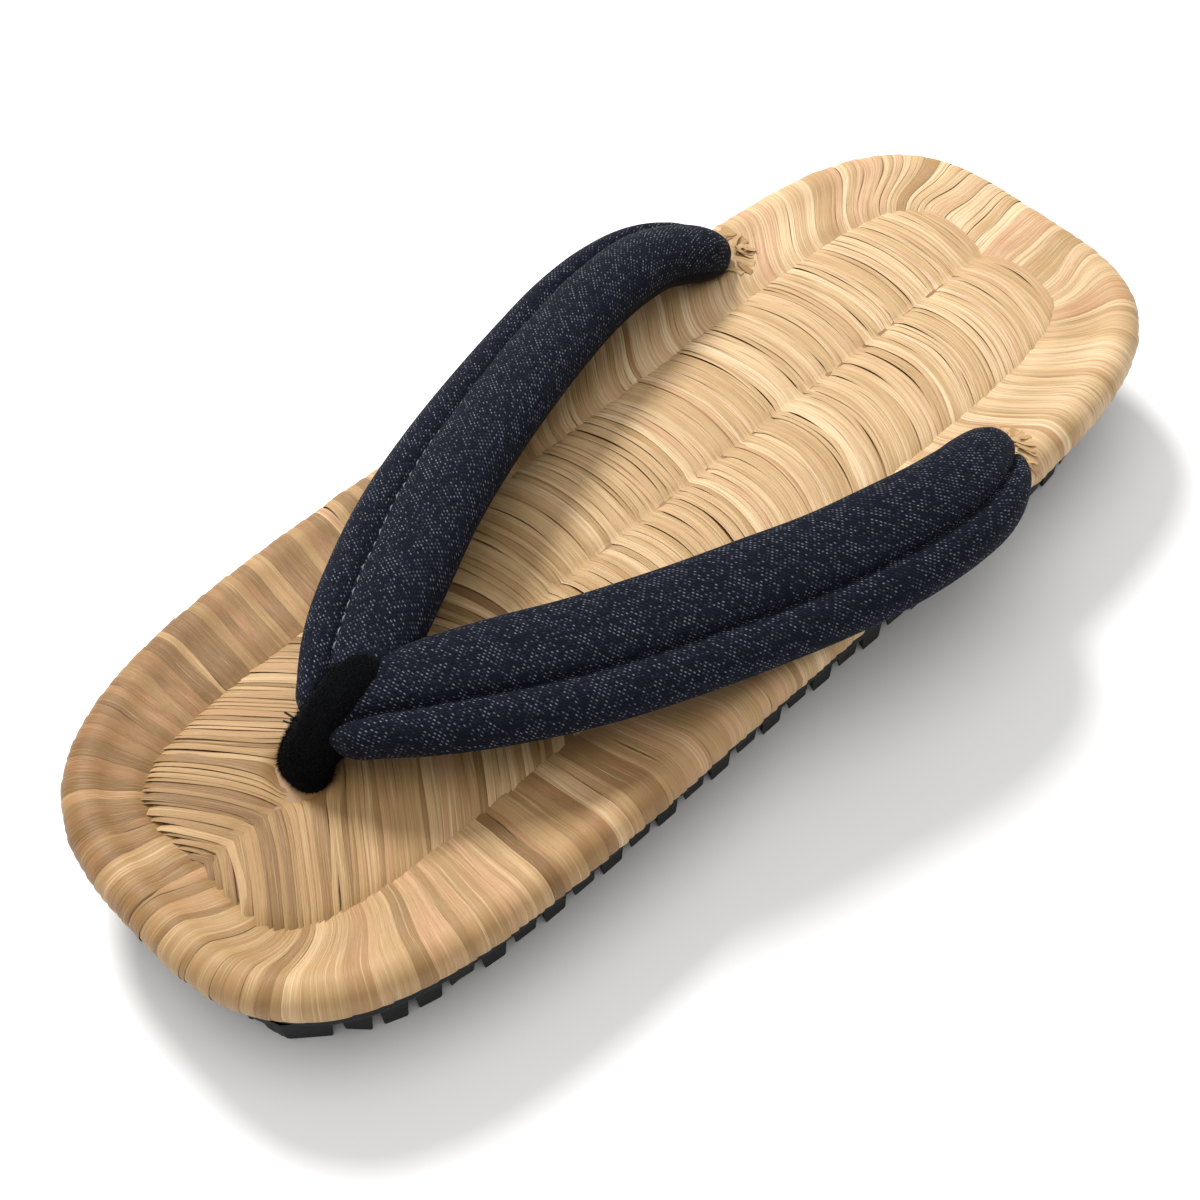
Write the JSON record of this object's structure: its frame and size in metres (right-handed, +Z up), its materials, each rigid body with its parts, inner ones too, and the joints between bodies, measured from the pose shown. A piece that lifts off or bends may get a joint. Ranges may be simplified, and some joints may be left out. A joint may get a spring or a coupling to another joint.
{
  "type": "zori sandal",
  "caption": "Flat zori sandal: plaited bamboo-sheath footbed with a rolled rim on a foam and lugged rubber sole, with a padded denim V strap and velour toe loop.",
  "frame": {"origin": "on the floor, under the middle of the sandal's length and width", "axes": "+Z up, the toe points to -Y and the heel to +Y, X across the sandal"},
  "size_m": [0.1168, 0.262, 0.0502],
  "materials": {
    "outsole_rubber": "satin moulded rubber with zigzag lugs",
    "midsole_foam": "matt closed-cell foam with a fine speckle",
    "bamboo_sheath": "dry plaited bamboo-sheath strips, satin, with pinkish and brown streaks",
    "strap_denim": "dark indigo denim with pale weft specks, padded",
    "loop_velour": "black velour with a short pile"
  },
  "bodies": {
    "root": {"outsole": "outsole_rubber", "midsole": "midsole_foam", "footbed": "bamboo_sheath", "thong_strap": "strap_denim", "toe_loop": "loop_velour"}
  },
  "joints": []
}
